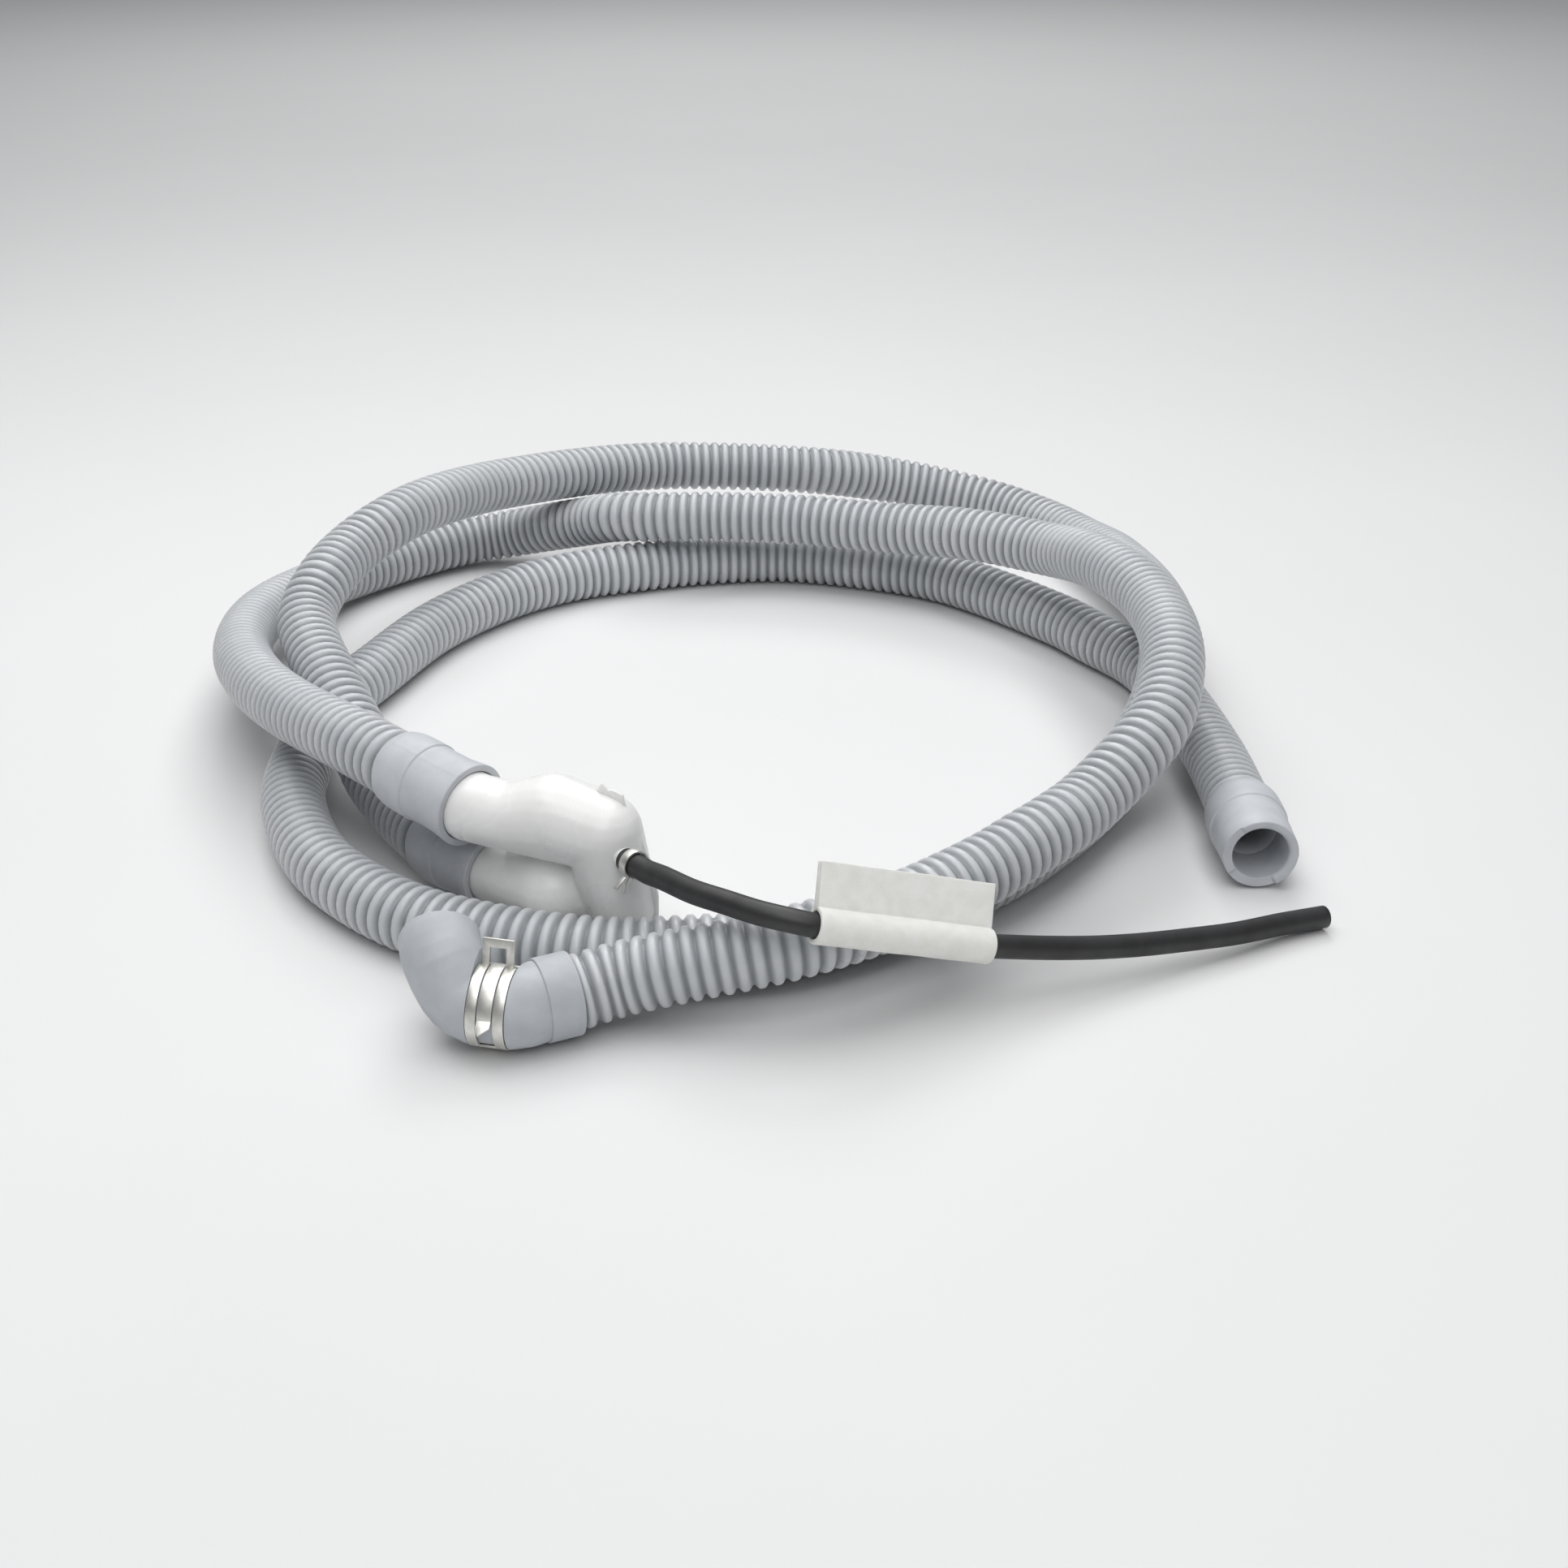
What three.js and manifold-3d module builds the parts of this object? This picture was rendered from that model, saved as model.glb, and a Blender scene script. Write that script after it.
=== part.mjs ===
// Drain hose assembly of a washing machine, lying in a loose double loop on the floor.
// Millimetres, +Z up. The origin is on the floor, under the middle of the loop.

import * as THREE from 'three';
import { ConvexGeometry } from 'three/addons/geometries/ConvexGeometry.js';
import { mergeVertices } from 'three/addons/utils/BufferGeometryUtils.js';
import Module from 'manifold-3d';

const wasm = await Module();
wasm.setup();

// Driving dimensions

const FIT = 0.3; // gap left between two pieces that touch
const ROUND = 32; // sides of a turned piece
const OVERCUT = 3; // how far a cutting shape runs past the face it opens

const HOSE_OUTER = 26; // over the crests of the corrugation
const HOSE_WALL = 2.6; // crest to inner valley, the corrugation filled in
const HOSE_SIDES = 12;
const HOSE_STEP = 30; // length of one straight piece of a hose
const HOSE_LEAD = 3; // straight hose outside a cuff, before it bends

const CUFF_LENGTH = 38;
const CUFF_WALL = 2.1; // over the hose
const CUFF_SEAT = 17; // how deep the hose sits in the cuff
const CUFF_BORE = 21.5;
const CUFF_MOUTH_WALL = 3.6;
const CUFF_WAIST_WALL = 1.6; // over the port, where the cuff is not stretched
const PORT_SEAT = 17; // how deep a port of the air break sits in its cuff
const LIP_STEP = 0.8; // the outlet's end face is in three sectors, one step apart
const LIP_CHAMFER = 1.2;

const PORT_OUTER = HOSE_OUTER; // so that one cuff fits both
const PORT_ROOT = 10; // how far a port runs from its cuff into the air break
const BLOWN_WALL = 2;
const WEB = 3; // pinched wall between the two lobes of the air break
const FLASH = 1.2; // thickness of the flash on the parting line

const NIPPLE_OUTER = 4.8;
const NIPPLE_BORE = 2.6;
const NIPPLE_LENGTH = 14; // from the tube's end
const NIPPLE_FOOT = 5; // length of the thicker foot behind the tube's end
const NIPPLE_FOOT_OUTER = 7.4;
const VENT_OUTER = 8.5;
const VENT_WALL = 1.5;
const VENT_SIDES = 10;
const VENT_STEP = 17;

const CLIP_THICK = 0.8;
const CLIP_WIDTH = 3.6;
const CLIP_SETBACK = 5; // from the tube's end to the middle of the clip
const CLIP_EAR = 6.5;
const CLIP_OPEN_FROM = 125; // degrees from the top, towards the front
const CLIP_OPEN_TO = 155;

const FELT_THICK = 1.8;
const FELT_FLAG = 15.5; // height of the flag over the wrapped tube
const FELT_INSET = 1.2; // from the ends of the tube's straight stretch to the felt

const ELBOW_OUTER = 27.6;
const ELBOW_STEP = 3;
const ELBOW_WALL = 3.8;
const ELBOW_BORE = ELBOW_OUTER - 2 * ELBOW_WALL;
const COLLAR_WALL = 1.3; // over the hose
const ELBOW_COLLAR = HOSE_OUTER + 2 * (FIT + COLLAR_WALL);
const ELBOW_SEAT = 10; // how deep the hose sits in the collar

const CLAMP_WIDTH = 13;
const CLAMP_THICK = 0.9;
const CLAMP_SINK = 0.9; // how deep the band presses into the elbow
const CLAMP_RAIL = 3.6; // width of each of the two outer rails
const CLAMP_SLIT = 0.45; // gap between a rail and the tongue
const CLAMP_PLATE = 9.5; // height of the window plate over the band
const CLAMP_BRIDGE = 3.2; // height of the plate above its window
const CLAMP_TANG = 5.5; // length of the bent tip of the tongue
const CLAMP_SLOT_END = -52; // degrees from the front, where the rails join
const CLAMP_PLATE_AT = 102; // degrees from the front, upwards
const CLAMP_BAND_END = 118;
const CLAMP_TANG_AT = 9;

// Where the pieces lie

const vec = (x, y, z) => new THREE.Vector3(x, y, z);
const UP = vec(0, 0, 1);
const MIDDLE = vec(1.49, -2.28, 0.05); // of the box round the routes below; it goes to the origin

// A seat is the middle of a cuff's mouth and the direction that the mouth faces.
const OUTLET = { mouth: vec(213, -158.4, 15.7), axis: vec(0, -1, 0) };
const UPPER_PORT = { mouth: vec(-82.5, -184.5, 49.5), axis: vec(0.77, -0.63, -0.11).normalize() };
const LOWER_PORT = { mouth: vec(-75.5, -177.5, 18.5), axis: vec(0.72, -0.69, 0).normalize() };

// Centre line of the elbow: its seat for the hose, the bend up to the clamp, the straight
// stretch under the clamp, and the bend from there to the end that goes on the machine.
const ELBOW_SEAT_LINE = [[-40.1, -258.6, 16], [-50.9, -263.4, 15.8]];
const ELBOW_LEAD = [[-50.9, -263.4, 15.8], [-54.4, -265.7, 15.5], [-58.2, -267.3, 15.3]];
const CLAMP_LINE = [[-58.2, -267.3, 15.3], [-72, -264.9, 15.9]];
const ELBOW_TAIL = [
  [-72, -264.9, 15.9],
  [-76.6, -262.8, 18.3],
  [-79.8, -260.6, 22.5],
  [-82.3, -258.1, 27],
  [-84.3, -254.1, 30],
  [-85.5, -249.1, 31.8],
];

// Centre lines of the two hoses between their cuffs, and of the vent tube.
const LONG_ROUTE = [
  [213, -62, 13.5], [206, 8, 13], [197, 42, 13], [181, 70, 13], [167, 94, 13], [116, 153, 13],
  [76, 174, 13], [31, 186, 13], [-14, 181, 13], [-55, 168, 13], [-76, 159, 13], [-107, 134, 13],
  [-138, 88, 13], [-160, 25, 13], [-173, -19, 13], [-172, -63, 13], [-169, -101, 13], [-157, -138, 13],
  [-141, -167, 13], [-108, -200, 13], [-77, -216, 13], [-34, -227, 13], [-2, -226, 13],
  [35, -219, 13], [71, -198, 13], [108, -170, 13], [136, -137, 13], [153, -112, 13],
  [172, -86, 20], [189, -58, 32], [204, 12, 41], [203, 141, 27], [193, 190, 20], [178, 226, 18],
  [160, 248, 19], [138, 261, 22], [94, 267, 30], [49, 254, 40], [-41, 240, 47], [-113, 174, 58],
  [-145, 114, 66], [-159, 83, 66], [-171, 59, 62], [-179, 29, 57], [-182, 4, 48.5], [-161, -48, 37.2],
  [-147, -75, 29], [-135, -100, 20.3], [-119, -127, 17.5],
];
const SHORT_ROUTE = [
  [-26, -254, 18.2], [-5, -252.6, 22.8], [35, -246.8, 29], [70, -229.5, 31.6], [103.7, -203, 34],
  [117, -191, 36], [131, -178, 38], [145, -162, 40], [175, -126, 54], [184, -102, 60],
  [190, -72, 64.5], [191, -24, 65], [184, 12, 65], [173, 52, 60], [159, 88, 52], [123, 122, 48],
  [85, 146, 43], [43, 163, 41.5], [1, 170, 41], [-34, 173, 40], [-56, 180, 37.6], [-78, 197, 29],
  [-119, 215, 16.5], [-147, 207, 14], [-196, 153, 15],
  [-215, 85, 25], [-217, 39, 31], [-208, -12, 37], [-189, -58, 43], [-167.8, -92.9, 47.5],
  [-148, -120, 51.5], [-129, -143, 54],
];
const VENT_NIPPLE = { at: vec(-24.5, -214, 43.1), axis: vec(0.62, -0.78, 0.05).normalize() };
const VENT_ROUTE = [
  [-10.6, -231.4, 45.3], [0.6, -244.5, 47], [11.3, -253, 47.9], [21.7, -259.4, 47.7],
  [31.3, -262.6, 46.8], [39.9, -263.4, 45.1], [102, -241.7, 24.2], [121.9, -233.8, 18.9],
  [139.6, -227, 15], [157.6, -220.1, 12.1], [176.1, -212.4, 9.7], [195, -204.5, 7.7],
  [214.6, -194.5, 6], [231.4, -187.2, 4.8],
];
const FELT_SPAN = [5, 6]; // the straight stretch of the vent tube that carries the felt
const FLAG_LEAN = vec(0, 0.5, 0.87);

// The air break stands in an upright plane through its two ports. Its lobes are round
// blown shapes, each given by balls: along the plane, behind it, height, radius.
const BODY_ORIGIN = vec(-79, -182, 0);
const BODY_ALONG = vec(0.948, -0.318, 0).normalize();
const BODY_BEHIND = new THREE.Vector3().crossVectors(UP, BODY_ALONG);
const UPPER_LOBE = [[16, -7, 49, 13], [31, -5, 50.5, 16.4], [49, -3, 47, 14.5]];
const CROWN = [[49, -3, 47, 14.5], [54.5, -1, 18.5, 13.5]];
const LOWER_LOBE = [[14, 0, 18.5, 13], [27, -1, 19.5, 16]];
const LOWER_WAY = [[27, -1, 19.5, 12], [54.5, -1, 18.5, 12]];
const WEB_OUTLINE = [[10, 27], [46, 27], [46, 42], [10, 42]];
const FLASH_OUTLINE = [
  [40, 60], [44, 63.5], [47, 62.8], [49, 66], [51.5, 63.6], [53, 64], [57, 62.5], [57.4, 59.6],
  [60, 51], [64.4, 44], [67.5, 34], [69.3, 24], [69, 14], [66, 9], [60, 12], [58, 40], [48, 50],
];

// Materials

const rubber = new THREE.MeshStandardMaterial({ color: 0x9ba0a8, roughness: 0.6, metalness: 0 });
const hosePlastic = new THREE.MeshStandardMaterial({ color: 0x9fa4a8, roughness: 0.42, metalness: 0 });
const elbowRubber = new THREE.MeshStandardMaterial({ color: 0x9499a2, roughness: 0.62, metalness: 0 });
const blownPlastic = new THREE.MeshStandardMaterial({ color: 0xeeeeec, roughness: 0.35, metalness: 0 });
const blackRubber = new THREE.MeshStandardMaterial({ color: 0x1f1f20, roughness: 0.48, metalness: 0 });
const felt = new THREE.MeshStandardMaterial({ color: 0xe6e6e2, roughness: 0.95, metalness: 0 });
const springSteel = new THREE.MeshStandardMaterial({ color: 0xc4c3bc, roughness: 0.3, metalness: 1 });

// Turning shapes into solids

function solidOf(geometry) {
  const bare = new THREE.BufferGeometry();
  bare.setAttribute('position', geometry.getAttribute('position'));
  bare.setIndex(geometry.getIndex());
  const merged = mergeVertices(bare, 1e-4);
  const at = merged.getAttribute('position').array;
  const corners = Uint32Array.from(merged.getIndex().array);
  const a = vec(0, 0, 0);
  const b = vec(0, 0, 0);
  const c = vec(0, 0, 0);
  let volume = 0;
  for (let i = 0; i < corners.length; i += 3) {
    a.fromArray(at, 3 * corners[i]);
    b.fromArray(at, 3 * corners[i + 1]);
    c.fromArray(at, 3 * corners[i + 2]);
    volume += a.dot(b.cross(c));
  }
  if (volume < 0) corners.reverse();
  return new wasm.Manifold(new wasm.Mesh({
    numProp: 3, vertProperties: Float32Array.from(at), triVerts: corners,
  }));
}

function meshOf(name, solid, material) {
  const { vertProperties, triVerts } = solid.getMesh();
  const geometry = new THREE.BufferGeometry();
  geometry.setAttribute('position', new THREE.BufferAttribute(vertProperties, 3));
  geometry.setIndex(new THREE.BufferAttribute(triVerts, 1));
  geometry.translate(-MIDDLE.x, -MIDDLE.y, -MIDDLE.z);
  geometry.computeVertexNormals();
  const mesh = new THREE.Mesh(geometry, material);
  mesh.name = name;
  return mesh;
}

const joined = (solids) => solids.reduce((sum, solid) => sum.add(solid));
const points = (rows) => rows.map((row) => vec(...row));
const along = (from, axis, distance) => from.clone().addScaledVector(axis, distance);

// A local frame: Z runs along the axis, X is as near as it can be to the hint.
function frameAt(origin, axis, hint) {
  const side = hint.clone().addScaledVector(axis, -hint.dot(axis)).normalize();
  const third = new THREE.Vector3().crossVectors(axis, side);
  return new THREE.Matrix4().makeBasis(side, third, axis).setPosition(origin);
}

// A closed profile of [radius, height] rows, turned about the local Z axis.
function turned(profile, frame, sides = ROUND) {
  const outline = [...profile, profile[0]].map(([radius, height]) => new THREE.Vector2(radius, height));
  const geometry = new THREE.LatheGeometry(outline, sides).rotateX(Math.PI / 2);
  return solidOf(geometry.applyMatrix4(frame));
}

function rod(radius, start, end, axisFrame, sides = ROUND) {
  return turned([[0, start], [radius, start], [radius, end], [0, end]], axisFrame, sides);
}

function plate(outline, thickness, frame) {
  const shape = new THREE.Shape(outline.map(([x, y]) => new THREE.Vector2(x, y)));
  const geometry = new THREE.ExtrudeGeometry(shape, { depth: thickness, bevelEnabled: false });
  return solidOf(geometry.translate(0, 0, -thickness / 2).applyMatrix4(frame));
}

// Part of a ring between two angles, in degrees from the local X axis towards Y.
function sector(inner, outer, from, to, start, end, frame) {
  const first = THREE.MathUtils.degToRad(from);
  const last = THREE.MathUtils.degToRad(to);
  const shape = new THREE.Shape();
  shape.absarc(0, 0, outer, first, last, false);
  if (inner > 0) shape.absarc(0, 0, inner, last, first, true);
  else shape.lineTo(0, 0);
  const curveSegments = Math.ceil(Math.abs(to - from) / 10);
  const settings = { depth: end - start, bevelEnabled: false, curveSegments };
  const geometry = new THREE.ExtrudeGeometry(shape, settings);
  return solidOf(geometry.translate(0, 0, start).applyMatrix4(frame));
}

// A route that keeps its own stations, so that a straight seat stays straight.
class Stations extends THREE.Curve {
  constructor(stops) {
    super();
    this.stops = stops;
  }

  getPointAt(share, target = new THREE.Vector3()) {
    return target.copy(this.stops[Math.round(share * (this.stops.length - 1))]);
  }

  getTangentAt(share, target = new THREE.Vector3()) {
    const here = Math.round(share * (this.stops.length - 1));
    const before = this.stops[Math.max(here - 1, 0)];
    const after = this.stops[Math.min(here + 1, this.stops.length - 1)];
    return target.subVectors(after, before).normalize();
  }
}

function ngon(radius, sides) {
  const corner = (_, i) => {
    const angle = (2 * Math.PI * (i + 0.5)) / sides;
    return new THREE.Vector2(radius * Math.cos(angle), radius * Math.sin(angle));
  };
  return Array.from({ length: sides }, corner);
}

function tube(stops, outer, inner, sides) {
  const shape = new THREE.Shape(ngon(outer, sides));
  if (inner > 0) shape.holes.push(new THREE.Path(ngon(inner, sides)));
  const steps = stops.length - 1;
  const extrudePath = new Stations(stops);
  return solidOf(new THREE.ExtrudeGeometry(shape, { steps, extrudePath, bevelEnabled: false }));
}

// A thick bend, as hulls between round sections, so that its inner side cannot fold.
function bent(stops, radius) {
  const route = new Stations(stops);
  const rings = stops.map((stop, i) => {
    const axis = route.getTangentAt(i / (stops.length - 1));
    const ring = new THREE.CircleGeometry(radius, ROUND).applyMatrix4(frameAt(stop, axis, UP));
    const at = ring.getAttribute('position');
    return Array.from({ length: ROUND }, (_, k) => new THREE.Vector3().fromBufferAttribute(at, k + 1));
  });
  const pairs = rings.slice(1).map((ring, i) => [...rings[i], ...ring]);
  return joined(pairs.map((pair) => solidOf(new ConvexGeometry(pair))));
}

// The free part of a route in even steps, as a smooth curve through the chosen points.
function smoothed(chosen, step) {
  const curve = new THREE.CatmullRomCurve3(chosen, false, 'centripetal');
  curve.arcLengthDivisions = 1000;
  return curve.getSpacedPoints(Math.ceil(curve.getLength() / step));
}

// Cuffs, and where they seat

const HOSE_RADIUS = HOSE_OUTER / 2;
const CUFF_RADIUS = HOSE_RADIUS + FIT + CUFF_WALL;
const PORT_RADIUS = PORT_OUTER / 2;
const CUFF_MOUTH_RADIUS = CUFF_BORE / 2 + CUFF_MOUTH_WALL;
const CUFF_FLARE_RADIUS = PORT_RADIUS + FIT + CUFF_MOUTH_WALL * 0.75;

// Heights run from the rim that takes the hose to the mouth.
const CUFF_BACK = [
  [HOSE_RADIUS + FIT, CUFF_SEAT],
  [HOSE_RADIUS + FIT, 0],
  [HOSE_RADIUS + FIT + CUFF_WALL * 0.45, 0],
  [CUFF_RADIUS - 0.2, 4],
  [CUFF_RADIUS, 9],
  [CUFF_RADIUS, CUFF_SEAT - 1],
  [CUFF_RADIUS - 0.4, CUFF_SEAT - 0.5],
];

function seatFrame(seat) {
  return frameAt(along(seat.mouth, seat.axis, -CUFF_LENGTH), seat.axis, UP);
}

function outletCuff() {
  const frame = seatFrame(OUTLET);
  const full = turned([
    ...CUFF_BACK,
    [CUFF_RADIUS - 0.8, CUFF_LENGTH * 0.7],
    [CUFF_MOUTH_RADIUS, CUFF_LENGTH + LIP_STEP],
    [CUFF_BORE / 2 + LIP_CHAMFER, CUFF_LENGTH + LIP_STEP],
    [CUFF_BORE / 2, CUFF_LENGTH - LIP_STEP / 2],
    [CUFF_BORE / 2, CUFF_SEAT],
  ], frame);
  const beyond = CUFF_LENGTH + OVERCUT;
  const reach = CUFF_RADIUS + OVERCUT;
  const leftSector = sector(0, reach, 35, 128, CUFF_LENGTH, beyond, frame);
  const lowSector = sector(0, reach, 127, 210, CUFF_LENGTH - LIP_STEP, beyond, frame);
  return full.subtract(leftSector).subtract(lowSector);
}

function portCuff(seat) {
  const shoulder = CUFF_LENGTH - PORT_SEAT;
  return turned([
    ...CUFF_BACK,
    [PORT_RADIUS + FIT + CUFF_WAIST_WALL, CUFF_LENGTH * 0.75],
    [CUFF_FLARE_RADIUS, CUFF_LENGTH],
    [PORT_RADIUS + FIT, CUFF_LENGTH],
    [PORT_RADIUS + FIT, shoulder],
    [CUFF_BORE / 2, shoulder],
    [CUFF_BORE / 2, CUFF_SEAT],
  ], seatFrame(seat));
}

const leadOf = (seat) => along(seat.mouth, seat.axis, -CUFF_LENGTH - HOSE_LEAD);
const hoseEndIn = (seat) => along(seat.mouth, seat.axis, CUFF_SEAT - FIT - CUFF_LENGTH);

// Air break chamber

function blown(balls, wall) {
  const skin = [];
  for (const [s, behind, height, radius] of balls) {
    const centre = along(along(BODY_ORIGIN, BODY_ALONG, s), BODY_BEHIND, behind).setZ(height);
    const ball = new THREE.SphereGeometry(radius - wall, 18, 10).getAttribute('position');
    for (let i = 0; i < ball.count; i += 1) {
      skin.push(new THREE.Vector3().fromBufferAttribute(ball, i).add(centre));
    }
  }
  return solidOf(new ConvexGeometry(skin));
}

function airBreakChamber() {
  const lobes = (wall) => [UPPER_LOBE, CROWN, LOWER_LOBE, LOWER_WAY].map((balls) => blown(balls, wall));
  const ports = [UPPER_PORT, LOWER_PORT].map(({ mouth, axis }) => frameAt(mouth, axis, UP));
  const nipple = frameAt(VENT_NIPPLE.at, VENT_NIPPLE.axis, UP);
  const upright = frameAt(along(BODY_ORIGIN, BODY_BEHIND, -2), BODY_BEHIND.clone().negate(), BODY_ALONG);
  const skin = [
    ...lobes(0),
    ...ports.map((frame) => rod(PORT_RADIUS, FIT - PORT_SEAT, PORT_ROOT, frame)),
    plate(WEB_OUTLINE, WEB, upright),
    plate(FLASH_OUTLINE, FLASH, upright),
    rod(NIPPLE_OUTER / 2, -NIPPLE_FOOT, NIPPLE_LENGTH, nipple, 16),
    rod(NIPPLE_FOOT_OUTER / 2, -NIPPLE_FOOT, -FIT, nipple, 16),
  ];
  const hollow = [
    ...lobes(BLOWN_WALL),
    ...ports.map((frame) => rod(PORT_RADIUS - BLOWN_WALL, -PORT_SEAT - OVERCUT, PORT_ROOT, frame)),
    rod(NIPPLE_BORE / 2, -NIPPLE_FOOT - OVERCUT, NIPPLE_LENGTH + OVERCUT, nipple, 12),
  ];
  return joined(skin).subtract(joined(hollow));
}

// Hoses and vent tube

function longHose() {
  const free = smoothed([leadOf(OUTLET), ...points(LONG_ROUTE), leadOf(LOWER_PORT)], HOSE_STEP);
  const stops = [hoseEndIn(OUTLET), ...free, hoseEndIn(LOWER_PORT)];
  return tube(stops, HOSE_RADIUS, HOSE_RADIUS - HOSE_WALL, HOSE_SIDES);
}

function shortHose() {
  const lead = along(ELBOW_FACE, ELBOW_AXIS, -HOSE_LEAD);
  const free = smoothed([lead, ...points(SHORT_ROUTE), leadOf(UPPER_PORT)], HOSE_STEP);
  const stops = [along(ELBOW_FACE, ELBOW_AXIS, ELBOW_SEAT - FIT), ...free, hoseEndIn(UPPER_PORT)];
  return tube(stops, HOSE_RADIUS, HOSE_RADIUS - HOSE_WALL, HOSE_SIDES);
}

const VENT_RADIUS = VENT_OUTER / 2;
const VENT_POINTS = points(VENT_ROUTE);
const [FELT_START, FELT_END] = FELT_SPAN.map((i) => VENT_POINTS[i]);

function ventTube() {
  const { at, axis } = VENT_NIPPLE;
  const onNipple = along(at, axis, NIPPLE_LENGTH);
  const before = smoothed([onNipple, ...VENT_POINTS.slice(0, FELT_SPAN[0] + 1)], VENT_STEP);
  const after = smoothed(VENT_POINTS.slice(FELT_SPAN[1]), VENT_STEP);
  return tube([at, ...before, ...after], VENT_RADIUS, VENT_RADIUS - VENT_WALL, VENT_SIDES);
}

function ventClip() {
  const { at, axis } = VENT_NIPPLE;
  const frame = frameAt(along(at, axis, CLIP_SETBACK), axis, UP);
  const inner = VENT_RADIUS + FIT;
  const outer = inner + CLIP_THICK;
  const half = CLIP_WIDTH / 2;
  const ear = (turn, start) => {
    const outline = [[inner, 0], [inner + CLIP_EAR, 0], [inner + CLIP_EAR, CLIP_THICK], [inner, CLIP_THICK]];
    const local = new THREE.Matrix4().makeRotationZ(THREE.MathUtils.degToRad(turn)).setPosition(0, 0, start);
    return plate(outline, half, frame.clone().multiply(local));
  };
  const ring = sector(inner, outer, CLIP_OPEN_TO - 360, CLIP_OPEN_FROM, -half, half, frame);
  return joined([ring, ear(CLIP_OPEN_FROM - 5, half / 2), ear(CLIP_OPEN_TO - 7, -half / 2)]);
}

function feltPad() {
  const axis = new THREE.Vector3().subVectors(FELT_END, FELT_START);
  const length = axis.length() - 2 * FELT_INSET;
  axis.normalize();
  const frame = frameAt(along(FELT_START, axis, FELT_INSET + length / 2), axis, FLAG_LEAN);
  const inner = VENT_RADIUS + FIT;
  const outer = inner + FELT_THICK;
  const flagFoot = Math.sqrt(outer ** 2 - FELT_THICK ** 2);
  const section = [];
  const open = Math.asin(FELT_THICK / outer);
  const count = 18;
  for (let i = 0; i <= count; i += 1) {
    const angle = open + ((2 * Math.PI - 2 * open) * i) / count;
    section.push([outer * Math.cos(angle), outer * Math.sin(angle)]);
  }
  section.push([flagFoot + FELT_FLAG, -FELT_THICK], [flagFoot + FELT_FLAG, FELT_THICK]);
  const bore = rod(inner, -length / 2 - OVERCUT, length / 2 + OVERCUT, frame, 24);
  return plate(section, length, frame).subtract(bore);
}

// Elbow and its clamp

const [ELBOW_FACE, COLLAR_ROOT] = points(ELBOW_SEAT_LINE);
const ELBOW_AXIS = new THREE.Vector3().subVectors(COLLAR_ROOT, ELBOW_FACE).normalize();
const [CLAMP_START, CLAMP_END] = points(CLAMP_LINE);

function clampFrame() {
  const axis = new THREE.Vector3().subVectors(CLAMP_END, CLAMP_START).normalize();
  return frameAt(new THREE.Vector3().lerpVectors(CLAMP_START, CLAMP_END, 0.5), axis, vec(0, -1, 0));
}

function machineElbow() {
  const collar = frameAt(ELBOW_FACE, ELBOW_AXIS, UP);
  const collarLength = ELBOW_FACE.distanceTo(COLLAR_ROOT);
  const lead = smoothed(points(ELBOW_LEAD), ELBOW_STEP);
  const tail = smoothed(points(ELBOW_TAIL), ELBOW_STEP);
  const last = tail[tail.length - 1];
  const outward = new THREE.Vector3().subVectors(last, tail[tail.length - 2]).normalize();
  const body = bent([along(COLLAR_ROOT, ELBOW_AXIS, -OVERCUT), ...lead, ...tail], ELBOW_OUTER / 2);
  const way = bent([ELBOW_FACE, ...lead, ...tail, along(last, outward, OVERCUT)], ELBOW_BORE / 2);
  // The band presses into the rubber, in the crease of the bend.
  const edge = CLAMP_WIDTH / 2 + FIT;
  const bed = ELBOW_OUTER / 2 - CLAMP_SINK;
  const room = turned([[bed, -edge], [bed * 2, -edge], [bed * 2, edge], [bed, edge]], clampFrame());
  return body
    .subtract(room)
    .add(rod(ELBOW_COLLAR / 2, 0, collarLength, collar))
    .subtract(way)
    .subtract(rod(HOSE_RADIUS + FIT, -OVERCUT, ELBOW_SEAT, collar));
}

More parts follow.
